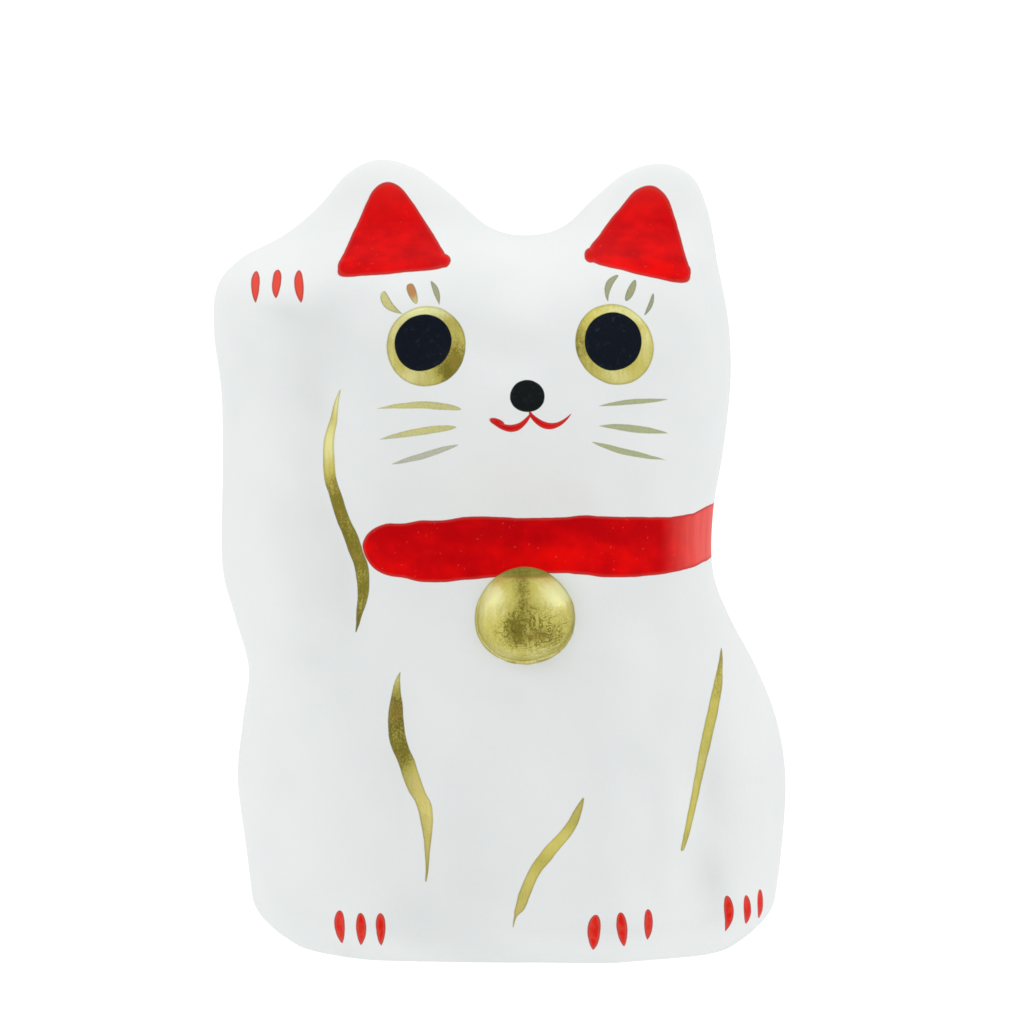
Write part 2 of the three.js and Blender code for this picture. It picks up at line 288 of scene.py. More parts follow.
def mesh_object(name, points, faces, smooth=True, uvs=None):
    """A mesh object from millimetre points and rows of four corners. A corner that repeats the next
    one is dropped, so such a face is a triangle. uvs has one place for each corner of each face."""
    kept = faces != np.roll(faces, -1, axis=1)
    corners = kept.sum(axis=1)
    mesh = bpy.data.meshes.new(name)
    mesh.vertices.add(len(points))
    mesh.vertices.foreach_set("co", (points * MM).ravel())
    mesh.loops.add(int(corners.sum()))
    mesh.loops.foreach_set("vertex_index", faces[kept])
    mesh.polygons.add(len(faces))
    mesh.polygons.foreach_set("loop_start", np.cumsum(corners) - corners)
    mesh.update(calc_edges=True)
    if uvs is not None:
        layer = mesh.uv_layers.new(name="OFBake")
        layer.data.foreach_set("uv", uvs[kept].astype(np.float32).ravel())
    mesh.polygons.foreach_set("use_smooth", np.ones(len(faces), bool) & smooth)
    mesh.update()
    made = bpy.data.objects.new(name, mesh)
    bpy.context.scene.collection.objects.link(made)
    return made


def turn_in(points):
    """The lowest edge turned in towards the base's middle, by FOOT_TURN (1 - z / FOOT_HEIGHT)^2."""
    keep = 1 - FOOT_TURN * np.maximum(1 - points[:, 2] / FOOT_HEIGHT, 0)**2
    points[:, 0] = SPINE_X + (points[:, 0] - SPINE_X) * keep
    points[:, 1] *= keep
    return points


def map_place(u, v, strip):
    """The paint's map of the shares u and v, in the strip (start, width) across it."""
    start, width = strip
    angle = np.arccos(1 - 2 * np.clip(u, 0, 1)) / math.pi
    across = (1 - MAP_BY_ANGLE) * u + MAP_BY_ANGLE * angle
    return np.stack([start + width * across, MAP_MARGIN + (1 - 2 * MAP_MARGIN) * v], axis=-1)


def quads(index, flip=False):
    """The grid's faces as rows of four corners, turned over on request."""
    a, b, c, d = index[:-1, :-1], index[:-1, 1:], index[1:, 1:], index[1:, :-1]
    ring = (a, d, c, b) if flip else (a, b, c, d)
    return np.stack(ring, axis=-1).reshape(-1, 4)


def body_skin():
    """The whole cat without its bell: front and back grids that share their rim, and a flat base.
    Returns points, the faces of front, back and base, and the shares u and v of each point."""
    x, z, u, v = skin_grid()
    edge = roundness(x, z)
    edge[:, 0] = edge[:, -1] = edge[-1, :] = 0
    front = np.stack([x, front_y(x, z, edge, uneven(x, z, UNEVEN_SEED)), z], axis=-1)
    back = np.stack([x, back_y(x, z, edge, uneven(x, z, UNEVEN_SEED + 1)), z], axis=-1)
    at_front = np.arange(x.size).reshape(x.shape)
    at_back = at_front + x.size
    at_back[:, 0] = at_front[:, 0]
    at_back[:, -1] = at_front[:, -1]
    at_back[-1, :] = at_front[-1, :]
    base = np.stack([at_front[0, 1:], at_front[0, :-1], at_back[0, :-1], at_back[0, 1:]], axis=-1)
    points = turn_in(np.vstack([front.reshape(-1, 3), back.reshape(-1, 3)]))
    faces = (quads(at_front), quads(at_back, flip=True), base)
    return points, faces, np.tile(u.ravel(), 2), np.tile(v.ravel(), 2)


def skin_object():
    """The body, smooth but for its base, with the back and the base mapped beside the front."""
    points, (front, back, base), u, v = body_skin()
    middle, scale = BASE_MAP
    base_uvs = middle + points[base][..., [1, 0]] * scale
    front_uvs = map_place(u[front], v[front], FRONT_MAP)
    back_uvs = map_place(u[back], v[back], BACK_MAP)
    uvs = np.vstack([front_uvs, back_uvs, base_uvs])
    faces = np.vstack([front, back, base])
    used, index = np.unique(faces, return_inverse=True)
    smooth = np.arange(len(faces)) < len(faces) - len(base)
    return mesh_object("lucky_cat_skin", points[used], index.reshape(faces.shape), smooth, uvs)


def bell_object():
    """An ellipsoid of rings and meridians in the bell's sizes, dented by small sine waves. Heights over
    the shoulder are drawn in as shoulder + spare tanh((z - shoulder) / spare), which flattens its top."""
    rings = np.linspace(0, math.pi, BELL_RINGS + 1)
    meridians = np.arange(BELL_MERIDIANS) * 2 * math.pi / BELL_MERIDIANS
    ring, turn = np.meshgrid(rings, meridians, indexing="ij")
    across = np.sin(ring) * np.cos(turn)
    up = np.sin(ring) * np.sin(turn)
    out = np.cos(ring)
    dents = 1 + BELL_DENT * np.sin(5 * across + 4.2 * up) * np.sin(3.1 * up - 1.7)
    at = np.array([[BELL["x"]], [BELL["z"]]])
    chest = front_y(at[0], at[1], roundness(at[0], at[1]))[0]
    x = BELL["x"] + BELL_DOME["radius_x"] * across * dents / (1 + BELL_NARROW * up)
    y = chest - BELL["proud"] + BELL["depth"] * (1 - out)
    z = BELL_DOME["z"] + BELL_DOME["radius_z"] * up * dents
    shoulder, spare = BELL_DOME["shoulder"], BELL_DOME["spare"]
    z = np.minimum(z, shoulder) + spare * np.tanh(np.maximum(z - shoulder, 0) / spare)
    points = np.stack([x, y, z], axis=-1).reshape(-1, 3)
    index = np.arange(ring.size).reshape(ring.shape)
    faces = quads(np.hstack([index, index[:, :1]]))
    side_x = [np.interp(points[:, 2], line[:, 1], line[:, 0]) for line in (RIGHT_LINE, LEFT_LINE)]
    u = (points[:, 0] - side_x[0]) / (side_x[1] - side_x[0])
    v = points[:, 2] / np.interp(points[:, 0], CROWN_LINE[:, 0], CROWN_LINE[:, 1])
    return mesh_object("bell_dome", points, faces, uvs=map_place(u[faces], v[faces], FRONT_MAP))


def join_bell(skin, bell):
    """The union of body and bell, made once and kept as the skin's mesh."""
    tool = skin.modifiers.new("join", "BOOLEAN")
    tool.operation = "UNION"
    tool.solver = "EXACT"
    tool.object = bell
    graph = bpy.context.evaluated_depsgraph_get()
    joined = bpy.data.meshes.new_from_object(skin.evaluated_get(graph), depsgraph=graph)
    skin.modifiers.clear()
    skin.data = joined
    skin.data.name = "lucky_cat_skin"
    bpy.data.objects.remove(bell)


def place_in_row(thing):
    """Moves the mesh so that its box stands in the CAD box, and returns that move in metres."""
    count = len(thing.data.vertices)
    points = np.empty(count * 3)
    thing.data.vertices.foreach_get("co", points)
    points = points.reshape(-1, 3)
    low, high = np.array(CAD_BOX[0]), np.array(CAD_BOX[1])
    move = (low + high) / 2 - (points.min(axis=0) + points.max(axis=0)) / 2
    move[2] = low[2] - points[:, 2].min()
    points += move
    points[:, 2] *= (high[2] - low[2]) / points[:, 2].max()
    points[:, :2] = np.clip(points[:, :2], low[:2] - BOX_SPARE, high[:2] + BOX_SPARE)
    thing.data.vertices.foreach_set("co", points.ravel())
    thing.data.update()
    return move


class Nodes:
    """Adds shader nodes to one tree. Each call returns an output socket."""

    def __init__(self, tree):
        self.tree = tree

    def add(self, kind, inputs=(), output=0, **settings):
        """One node with its settings, each input linked to a socket or set to a value."""
        node = self.tree.nodes.new("ShaderNode" + kind)
        for name, value in settings.items():
            setattr(node, name, value)
        for key, value in dict(inputs).items():
            if isinstance(value, bpy.types.NodeSocket):
                self.tree.links.new(value, node.inputs[key])
            else:
                node.inputs[key].default_value = value
        return node.outputs[output]

    def math(self, operation, *values):
        """One step of arithmetic."""
        return self.add("Math", enumerate(values), operation=operation)

    def mix(self, share, first, second):
        """Colours mixed by a share."""
        return self.add("Mix", {0: share, 6: first, 7: second}, 2, data_type="RGBA")

    def blend(self, share, first, second):
        """Numbers mixed by a share."""
        return self.add("Mix", {0: share, 2: first, 3: second}, data_type="FLOAT")

    def noise(self, place, scale, detail=2.0, roughness=0.5, output=0, distortion=0.0):
        """Noise of scale lumps to each unit of its place: a number, or with output 1 a colour."""
        inputs = {"Vector": place, "Scale": scale, "Detail": detail, "Roughness": roughness,
                  "Distortion": distortion}
        return self.add("TexNoise", inputs, output)

    def ramp(self, value, low, high, out_low=0.0, out_high=1.0):
        """A smooth step from one number to another."""
        inputs = {0: value, 1: low, 2: high, 3: out_low, 4: out_high}
        return self.add("MapRange", inputs, interpolation_type="SMOOTHSTEP")

    def stretched(self, place, scale):
        """A place with each of its axes scaled."""
        return self.add("Mapping", {"Vector": place, "Scale": scale})

    def furthest(self, insides):
        """The furthest inside of several shapes, each taken in as soon as it is made."""
        total = None
        for inside in insides:
            total = inside if total is None else self.math("MAXIMUM", total, inside)
        return total


# Long gold strokes up the cat, as (height, middle, width)
ARM_STROKE = [
    (49.7, -21.75, 0.15), (51.3, -21.45, 0.62), (56.5, -20.6, 1.8), (62.0, -21.8, 2.25), (70.0, -24.72, 1.93),
    (76.0, -25.8, 1.72), (82.5, -24.93, 1.02), (86.4, -23.98, 0.15),
]
THIGH_STROKE = [
    (12.6, -11.15, 0.2), (17.4, -10.85, 0.86), (22.9, -11.07, 2.1), (26.3, -12.45, 2.5), (30.4, -13.98, 2.58),
    (35.5, -15.5, 2.48), (41.2, -15.5, 1.25), (43.9, -15.0, 0.12),
]
FORELEG_STROKE = [
    (5.9, 2.05, 0.15), (7.2, 2.3, 0.35), (8.8, 3.08, 1.45), (11.0, 3.75, 1.78), (13.9, 5.1, 1.85),
    (17.0, 7.2, 2.35), (21.0, 10.45, 1.85), (25.6, 12.6, 0.25),
]
HAUNCH_STROKE = [
    (16.9, 27.45, 0.2), (20.5, 28.42, 1.0), (26.7, 29.84, 1.22), (33.8, 31.36, 1.6), (38.5, 32.46, 1.6),
    (43.8, 33.4, 0.82), (46.4, 33.65, 0.12),
]
# The collar across the front and the back, as (x, middle, width); they meet at the cat's left side
COLLAR_FRONT = [
    (-20.75, 62.75, 8.2), (-16.5, 62.27, 8.05), (-11.0, 62.13, 9.4), (-5.4, 62.7, 9.45), (7.6, 63.12, 8.3),
    (11.5, 63.22, 8.75), (15.6, 62.82, 9.1), (24.0, 62.65, 8.85), (29.0, 62.87, 8.35), (32.4, 63.55, 8.45),
    (40.0, 63.6, 8.5),
]
COLLAR_BACK = [
    (-26.5, 62.6, 7.8), (-18.0, 62.5, 8.8), (-8.0, 62.8, 8.4), (6.0, 62.5, 9.0), (20.0, 62.8, 8.3),
    (32.4, 63.55, 8.45), (40.0, 63.6, 8.5),
]
COLLAR_ROUND = 4.6

# The red in the ears: each triangle's low corner with the greater x, its top and its other low
# corner; blots over those corners; and how round the tops and the corners are
RIGHT_EAR = ((-6.9, 104.7), (-17.4, 119.9), (-25.25, 102.95))
LEFT_EAR = ((29.42, 101.7), (24.15, 120.1), (12.2, 105.75))
EAR_LOBES = [
    (-22.95, 104.7, 1.45, 1.35), (-8.5, 105.65, 1.05, 0.95),
    (27.55, 103.7, 1.35, 1.4), (13.8, 106.35, 1.05, 1.0),
]
RIGHT_EAR_ROUND = 5.1
LEFT_EAR_ROUND = 6.4
EAR_CORNER = 3.5

# Small strokes, as (start x, start z, end x, end z, bend, width, and how pointed it starts and ends)
LASHES = [
    (-17.6, 101.2, -14.55, 98.15, -0.6, 1.2, 0.35, 0.95),
    (-13.6, 102.4, -12.55, 99.6, 0.0, 1.28, 0.35, 0.6),
    (-10.3, 102.9, -9.05, 99.45, 0.2, 0.88, 0.8, 1.1),
    (17.82, 103.65, 16.27, 99.95, -0.75, 0.98, 0.5, 0.75),
    (20.45, 102.98, 18.92, 99.9, 0.05, 1.15, 0.65, 0.6),
    (23.15, 100.95, 21.75, 97.8, 0.2, 0.65, 0.6, 0.7),
]
WHISKERS = [
    (-18.5, 83.93, -5.75, 84.15, 0.62, 1.05, 0.9, 0.5),
    (-18.0, 79.22, -6.5, 81.45, 0.25, 1.12, 0.85, 0.55),
    (-16.2, 75.47, -6.1, 78.65, 0.0, 1.0, 0.85, 0.75),
    (14.9, 84.62, 25.3, 85.15, 0.07, 0.78, 0.85, 0.85),
    (14.9, 81.62, 25.3, 80.02, 0.13, 1.06, 0.85, 0.85),
    (13.9, 79.12, 25.0, 75.8, -0.15, 0.93, 0.8, 1.0),
]
MOUTH = [
    (-1.4, 82.7, 4.8, 83.75, -1.86, 1.12, 0.3, 0.45),
    (4.35, 83.72, 10.7, 83.48, -1.95, 1.02, 0.2, 0.55),
]
MOUTH_BLOT = [(-0.42, 82.33, 0.95, 0.56, 0.5)]
HAUNCH_LINES = [
    (-21.0, 44.0, -27.5, 13.0, 3.2, 2.2, 0.65, 0.55),
    (30.0, 43.0, 35.5, 14.0, -3.0, 2.2, 0.65, 0.55),
]
CLAWS = [
    (-36.7, 103.85, -36.75, 99.5, -0.2, 1.3, 0.5, 0.75),
    (-33.5, 104.15, -33.6, 100.3, -0.1, 1.38, 0.5, 0.75),
    (-30.3, 104.1, -29.85, 99.6, -0.08, 1.38, 0.5, 0.75),
    (-24.1, 8.1, -23.8, 2.8, -0.1, 1.6, 0.5, 0.75),
    (-20.9, 8.1, -20.95, 2.8, 0.1, 1.5, 0.5, 0.75),
    (-17.95, 8.1, -17.85, 2.95, 0.0, 1.42, 0.5, 0.75),
    (14.4, 8.2, 14.12, 2.6, -0.1, 1.9, 0.5, 0.75),
    (18.08, 8.55, 18.75, 3.2, 0.0, 1.6, 0.5, 0.75),
    (22.25, 8.75, 22.2, 4.1, 0.15, 1.32, 0.5, 0.75),
]
# Claws on the left hind foot, which faces aside
SIDE_CLAWS = [
    (34.15, 9.9, 34.4, 4.3, 0.45, 1.42, 0.5, 0.75),
    (37.0, 9.5, 37.7, 4.95, 0.28, 1.15, 0.5, 0.75),
    (39.3, 9.75, 39.75, 5.2, 0.25, 0.88, 0.5, 0.75),
]
# Round spots, as (x, z, radius in x, radius in z, and a lean where it isn't upright)
EYES = [(-11.02, 93.4, 5.95, 5.95, -0.03), (17.22, 93.58, 5.88, 5.94, 0.105)]
PUPILS = [(-11.49, 93.92, 4.28, 4.17, -0.08), (17.01, 94.06, 4.35, 4.28, 0.03)]
NOSE = [(4.13, 86.18, 2.6, 2.37)]
# The bell's gold, with x from the bell's own middle
BELL_GOLD = [(0.0, 52.7, BELL["radius_x"], 7.25)]
TAIL_STROKE = dict(radius=12.2, start=-100, end=70, width=2.3, pointed=0.6)
# How steeply a stroke falls off past its ends, and the unsteady brush's wavers as (scale, reach)
PAST_END = 3.0
WAVERS = [(0.2, 0.35), (0.8, 0.08)]

# Round spots of painted shade, where the gold is darkened as a painted dark reflection; of painted
# highlights, where it is brightened; and of painted sheen, where it is paler
GOLD_PAINTED_SHADE = [
    (-23.0, 59.0, 8.0, 15.0), (-15.3, 35.2, 3.0, 5.4), (-6.3, 90.6, 2.8, 3.2), (11.4, 91.9, 0.3, 1.2),
    (3.4, 55.5, 0.3, 2.0), (2.4, 51.4, 0.8, 1.6), (6.2, 50.0, 1.3, 0.8), (33.2, 43.8, 0.3, 1.6),
]
GOLD_PAINTED_HIGHLIGHT = [
    (-25.6, 79.0, 3.0, 4.5), (-11.8, 23.0, 3.0, 6.0), (-14.5, 96.5, 4.5, 3.5), (4.0, 9.0, 3.0, 4.5),
    (-1.2, 55.4, 2.7, 3.2), (8.8, 55.7, 2.7, 3.2), (3.5, 46.6, 5.0, 1.6),
    (-13.5, 88.6, 3.0, 1.4), (18.5, 88.6, 3.4, 1.4), (22.3, 94.0, 1.0, 4.0), (-16.2, 93.0, 1.0, 4.0),
]
GOLD_PAINTED_SHEEN = [
    (-11.5, 98.7, 4.6, 1.2), (19.8, 98.3, 4.2, 1.3), (-1.0, 56.0, 1.0, 1.0), (8.9, 56.2, 1.4, 1.4),
    (-24.3, 85.0, 0.5, 1.5), (-16.0, 43.0, 0.8, 1.0),
]
# Spots where the bell's skin is wrinkled and where a lash is painted brown
WRINKLED = [(5.2, 50.6, 5.2, 3.2)]
BROWN_LASH = [(-13.3, 101.7, 1.0, 1.3)]
# Where the red is brightest, a painted light on the collar's lower middle and an ear's lower edge, and where
# it is worn to a thinner coat on the collar's far side
RED_PAINTED_LIGHT = [(9.5, 61.4, 8.0, 2.6), (20.0, 104.2, 6.0, 1.6)]
COLLAR_WORN = (24.0, 30.5)

# Heights between which one paint's colour gives way to another's
OVER_COLLAR = (75.0, 74.0)
# the collar's upper half, darkened with painted shade
COLLAR_UPPER = (61.5, 65.0)
EAR_TIPS = (110.0, 118.0)
NOSE_TO_PUPILS = (88.4, 89.2)
WHISKERS_TO_LASHES = (88.0, 92.0)
PAW_TO_FEET = (60.0, 50.0)
LASHES_FROM = (92.0, 95.0)
LOWEST_WHISKERS = (81.0, 78.0)
BODY_GOLD = (50.0, 30.0)
# Above the bell's flattened top, its gold over the red is darkened with painted shade
BELL_TOP = (58.3, 58.8)
BELL_BROW = (53.5, 57.0)
# The same across the cat, as places in x
BEFORE_HAUNCH = (26.0, 18.0)
LAST_RIGHT_LASH = (-12.5, -10.5)
RIGHT_TO_LEFT = (-14.0, 10.0)
LEFT_TO_RIGHT = (4.0, 0.0)
# The y in front of which the front's paint lies
FRONT_FROM = -0.5

# Half the width over which a painted edge fades, and the relief's depths, in millimetres
EDGE_SOFT = 0.075
GROUND_RELIEF = 0.05
GRAIN_RELIEF = 0.045
WRINKLE_RELIEF = 0.9

# Each paint's dull rim, as (depth inside the edge where it is strongest, depth where it is gone, and
# its strength at each)
GOLD_EDGE = (0.05, 0.38, 0.42, 0.0)
FINE_EDGE = (0.0, 0.32, 0.7, 0.0)
RED_EDGE = (0.05, 0.58, 0.9, 0.0)
CLAW_EDGE = (0.07, 0.42, 0.9, 0.0)

# What each thing adds to a paint's tone, none being its darkest and one its brightest; the red's
# streaks are a share of its mottling
# In the gold, the painted highlights, the painted shade and the painted sheen are painted light and shade, as
# is the shade painted along the bell's folds
GOLD_TONE = dict(least=0.26, slow=0.6, painted_highlight=0.26, painted_shade=-0.42, painted_sheen=0.3, bristles=0.3,
                 grain=0.09, grain_in_painted_shade=0.15, painted_crease_shade=-0.38)
# In the red, the bright spots are painted light, and the collar's darker upper half is painted shade
RED_TONE = dict(streaks=0.4, bright=0.16, upper=-0.15)
FINE_GRAIN = 0.4

# How metallic, rough and glossy each paint is, with what the bell's brow and the grain add
METALLIC = dict(gold=0.85, brow=-0.7, fine=0.2)
ROUGH = dict(ground=0.56, gold=0.36, gold_grain=0.12, red=0.42, bell=0.38, bell_grain=0.1, black=0.34)
SPECULAR = 0.02

# Colours as linear red, green, blue and cover
GROUND_DIM = (0.745, 0.769, 0.765, 1)
GROUND_CLEAR = (0.772, 0.795, 0.790, 1)
# the darkest gold, where random tone and the painted shade darken it
GOLD_DARKEST = (0.20, 0.17, 0.024, 1)
GOLD_MIDDLE = (0.56, 0.50, 0.125, 1)
GOLD_BROWN = (0.36, 0.25, 0.06, 1)
GOLD_BRIGHT = (0.745, 0.70, 0.305, 1)
GOLD_WARM = (0.67, 0.585, 0.20, 1)
# the palest gold, used for the painted sheen
GOLD_SHEEN_PALEST = (0.76, 0.77, 0.37, 1)
GOLD_RIM = (0.20, 0.195, 0.10, 1)
# gold over the red above the bell's flattened top, darkened as painted shade: a dark reflection and the shade
# of the crease
GOLD_SHADED_ON_RED = (0.20, 0.18, 0.03, 1)
FINE_YELLOW = (0.58, 0.55, 0.23, 1)
FINE_GREEN = (0.41, 0.44, 0.25, 1)
FINE_OLIVE = (0.345, 0.355, 0.20, 1)
FINE_GREY = (0.48, 0.49, 0.39, 1)
FINE_BROWN = (0.46, 0.22, 0.08, 1)
FINE_RIM = (0.22, 0.235, 0.16, 1)
RED_DEEP = (0.50, 0.0008, 0.003, 1)
RED_CLEAR = (0.84, 0.0025, 0.002, 1)
RED_PALER = (0.78, 0.017, 0.014, 1)
RED_SPECK = (0.85, 0.14, 0.11, 1)
RED_WORN = (0.80, 0.105, 0.09, 1)
RED_RIM = (0.50, 0.042, 0.035, 1)
CLAW_PALE = (0.765, 0.083, 0.055, 1)
CLAW_DEEP = (0.67, 0.014, 0.009, 1)
CLAW_RIM = (0.42, 0.06, 0.05, 1)
BLACK_NOSE = (0.0078, 0.0102, 0.0108, 1)
BLACK_PUPIL = (0.0062, 0.0088, 0.0150, 1)
BLACK_DUST = (0.020, 0.027, 0.034, 1)

STROKE_INPUTS = ("X", "Z", "Middle X", "Middle Z", "Cos", "Sin", "Reach", "Bend",
                 "Half width", "Start", "End")


def stroke_group():
    """How far a place is inside one brush stroke. The stroke's own frame runs from -1 to 1 along it;
    its middle line is bend (1 - s^2), and its half width is half width (1 + s)^start (1 - s)^end."""
    tree = bpy.data.node_groups.new("brush_stroke", "ShaderNodeTree")
    for name in STROKE_INPUTS:
        tree.interface.new_socket(name, in_out="INPUT", socket_type="NodeSocketFloat")
    tree.interface.new_socket("Inside", in_out="OUTPUT", socket_type="NodeSocketFloat")
    enter = tree.nodes.new("NodeGroupInput").outputs
    n = Nodes(tree)
    off_x = n.math("SUBTRACT", enter["X"], enter["Middle X"])
    off_z = n.math("SUBTRACT", enter["Z"], enter["Middle Z"])
    along = n.math("MULTIPLY_ADD", off_x, enter["Cos"], n.math("MULTIPLY", off_z, enter["Sin"]))
    along = n.math("DIVIDE", along, enter["Reach"])
    cross = n.math("MULTIPLY", off_x, enter["Sin"])
    aside = n.math("SUBTRACT", n.math("MULTIPLY", off_z, enter["Cos"]), cross)
    before = n.math("ADD", 1.0, along)
    ahead = n.math("SUBTRACT", 1.0, along)
    left = n.math("MULTIPLY", before, ahead)
    off = n.math("ABSOLUTE", n.math("SUBTRACT", aside, n.math("MULTIPLY", left, enter["Bend"])))
    full = n.math("MULTIPLY", n.math("POWER", before, enter["Start"]), n.math("POWER", ahead, enter["End"]))
    half = n.math("MULTIPLY", full, enter["Half width"])
    past = n.math("MULTIPLY", n.math("MINIMUM", left, 0.0), PAST_END)
    leave = tree.nodes.new("NodeGroupOutput")
    tree.links.new(n.math("ADD", n.math("SUBTRACT", half, off), past), leave.inputs[0])
    return tree


def stroke(n, group, x, z, row):
    """How far inside one stroke of a table."""
    x0, z0, x1, z1, bend, width, start, end = row
    reach = math.hypot(x1 - x0, z1 - z0) / 2
    values = ((x0 + x1) / 2, (z0 + z1) / 2, (x1 - x0) / 2 / reach, (z1 - z0) / 2 / reach,
              reach, bend, width / 2, start, end)
    node = n.tree.nodes.new("ShaderNodeGroup")
    node.node_tree = group
    n.tree.links.new(x, node.inputs["X"])
    n.tree.links.new(z, node.inputs["Z"])
    for name, value in zip(STROKE_INPUTS[2:], values):
        node.inputs[name].default_value = value
    return node.outputs[0]


def strokes(n, group, x, z, table):
    """The furthest inside of any of these strokes."""
    return n.furthest(stroke(n, group, x, z, row) for row in table)


def spot(n, x, z, at_x, at_z, radius_x, radius_z, lean=None):
    """How far inside an ellipse: (1 - distance in radii) times the smaller radius. The squared
    distance is across^2 + up^2 + 2 lean across up, each in radii."""
    off_x = n.math("MULTIPLY_ADD", x, 1 / radius_x, -at_x / radius_x)
    off_z = n.math("MULTIPLY_ADD", z, 1 / radius_z, -at_z / radius_z)
    leaned = n.math("MULTIPLY_ADD", off_x, 2 * lean, off_z) if lean else off_z
    squared = n.math("MULTIPLY_ADD", off_x, off_x, n.math("MULTIPLY", off_z, leaned))
    small = min(radius_x, radius_z)
    return n.math("MULTIPLY_ADD", n.math("SQRT", squared), -small, small)


def spots(n, x, z, table):
    """The furthest inside of any of these ellipses."""
    return n.furthest(spot(n, x, z, *row) for row in table)


def edge_curve(n, share, values, shares):
    """A curve node through (share, value) points, scaled back to millimetres."""
    low, high = min(values), max(values)
    node = n.tree.nodes.new("ShaderNodeFloatCurve")
    line = node.mapping.curves[0]
    scaled = [(value - low) / (high - low) for value in values]
    line.points[0].location = (shares[0], scaled[0])
    line.points[1].location = (shares[-1], scaled[-1])
    for at, value in list(zip(shares, scaled))[1:-1]:
        line.points.new(at, value)
    node.mapping.update()
    n.tree.links.new(share, node.inputs["Value"])
    return n.math("MULTIPLY_ADD", node.outputs[0], high - low, low)


def band(n, along, across, table):
    """How far inside a long stroke, between its two edges and between its two ends."""
    first, last = table[0][0], table[-1][0]
    shares = [(row[0] - first) / (last - first) for row in table]
    share = n.add("MapRange", {0: along, 1: first, 2: last, 3: 0.0, 4: 1.0})
    middle = edge_curve(n, share, [row[1] for row in table], shares)
    off = n.math("ABSOLUTE", n.math("SUBTRACT", across, middle))
    half = n.math("MULTIPLY", edge_curve(n, share, [row[2] for row in table], shares), 0.5)
    between = n.math("SUBTRACT", half, off)
    ends = n.math("MINIMUM", n.math("SUBTRACT", along, first), n.math("SUBTRACT", last, along))
    return between, ends


def rounded(n, first, second, radius):
    """Inside both of two edges, their corner rounded: radius less the length of what each is short of it."""
    short = [n.math("MAXIMUM", n.math("SUBTRACT", radius, edge), 0.0) for edge in (first, second)]
    squared = n.math("MULTIPLY_ADD", short[0], short[0], n.math("MULTIPLY", short[1], short[1]))
    return n.math("SUBTRACT", radius, n.math("SQRT", squared))


def triangle(n, x, z, corners, radius):
    """A brush-filled triangle with a round top and small round lower corners."""
    edges = []
    for start, end in zip(corners, corners[1:] + corners[:1]):
        length = math.dist(start, end)
        in_x = (start[1] - end[1]) / length
        in_z = (end[0] - start[0]) / length
        partly = n.math("MULTIPLY_ADD", x, in_x, -start[0] * in_x - start[1] * in_z)
        edges.append(n.math("MULTIPLY_ADD", z, in_z, partly))
    return n.math("SMOOTH_MIN", rounded(n, edges[0], edges[1], radius), edges[2], EAR_CORNER)


def skin_y(x, z):
    """The front skin's y at drawn places, with its turned-in lowest edge."""
    x, z = np.array([x], float), np.array([z], float)
    keep = 1 - FOOT_TURN * np.maximum(1 - z / FOOT_HEIGHT, 0)**2
    return (front_y(x, z, roundness(x, z)) * keep)[0]


def side_stroke(n, group, x, y, z, row):
    """A stroke painted square to a skin that faces aside. It is laid across x cos + y sin, with the
    angle of the skin at its middle, so that it is as wide there as it looks from in front."""
    x0, z0, x1, z1, bend, width, start, end = row
    mid_x, mid_z = (x0 + x1) / 2, (z0 + z1) / 2
    near = skin_y([mid_x - 0.5, mid_x, mid_x + 0.5, x0, x1], [mid_z, mid_z, mid_z, z0, z1])
    turn = math.atan(near[2] - near[0])
    cos, sin = math.cos(turn), math.sin(turn)
    across = n.math("MULTIPLY_ADD", x, cos, n.math("MULTIPLY", y, sin))
    bulge = sin * (near[1] - (near[3] + near[4]) / 2)
    ends = (x0 * cos + near[3] * sin, z0, x1 * cos + near[4] * sin, z1)
    return stroke(n, group, across, z, (*ends, bend + bulge, width / cos, start, end))


def tail_stroke(n, x, z):
    """One stroke along the tail's arc, in polar places about the arc's middle."""
    off_x = n.math("SUBTRACT", x, TAIL["x"])
    off_z = n.math("SUBTRACT", z, TAIL["z"])
    turn = n.math("ARCTAN2", off_z, off_x)
    middle = math.radians(TAIL_STROKE["start"] + TAIL_STROKE["end"]) / 2
    span = math.radians(TAIL_STROKE["end"] - TAIL_STROKE["start"]) / 2
    along = n.math("DIVIDE", n.math("SUBTRACT", turn, middle), span)
    left = n.math("SUBTRACT", 1.0, n.math("MULTIPLY", along, along))
    squared = n.math("MULTIPLY_ADD", off_x, off_x, n.math("MULTIPLY", off_z, off_z))
    off = n.math("ABSOLUTE", n.math("SUBTRACT", n.math("SQRT", squared), TAIL_STROKE["radius"]))
    full = n.math("POWER", n.math("MAXIMUM", left, 0.0), TAIL_STROKE["pointed"])
    half = n.math("MULTIPLY", full, TAIL_STROKE["width"] / 2)
    between = n.math("SUBTRACT", half, off)
    past = n.math("MULTIPLY", n.math("MINIMUM", left, 0.0), PAST_END)
    return n.math("ADD", between, past)


def unsteady(n, drawn):
    """The drawn place, moved by slow noise as an unsteady brush does: where paint edges are read."""
    moved = drawn
    for scale, reach in WAVERS:
        waver = n.noise(drawn, scale, 1.0, output=1)
        offset = n.add("VectorMath", {0: waver, 1: (0.5,) * 3}, operation="SUBTRACT")
        moved = n.add("VectorMath", {0: offset, 1: (reach,) * 3, 2: moved}, operation="MULTIPLY_ADD")
    return moved


def parts(n, place):
    """A vector's x, y and z."""
    split = n.tree.nodes.new("ShaderNodeSeparateXYZ")
    n.tree.links.new(place, split.inputs[0])
    return split.outputs


def cover(n, inside):
    """Painted cover, from none to full across the edge."""
    return n.ramp(inside, -EDGE_SOFT, EDGE_SOFT)


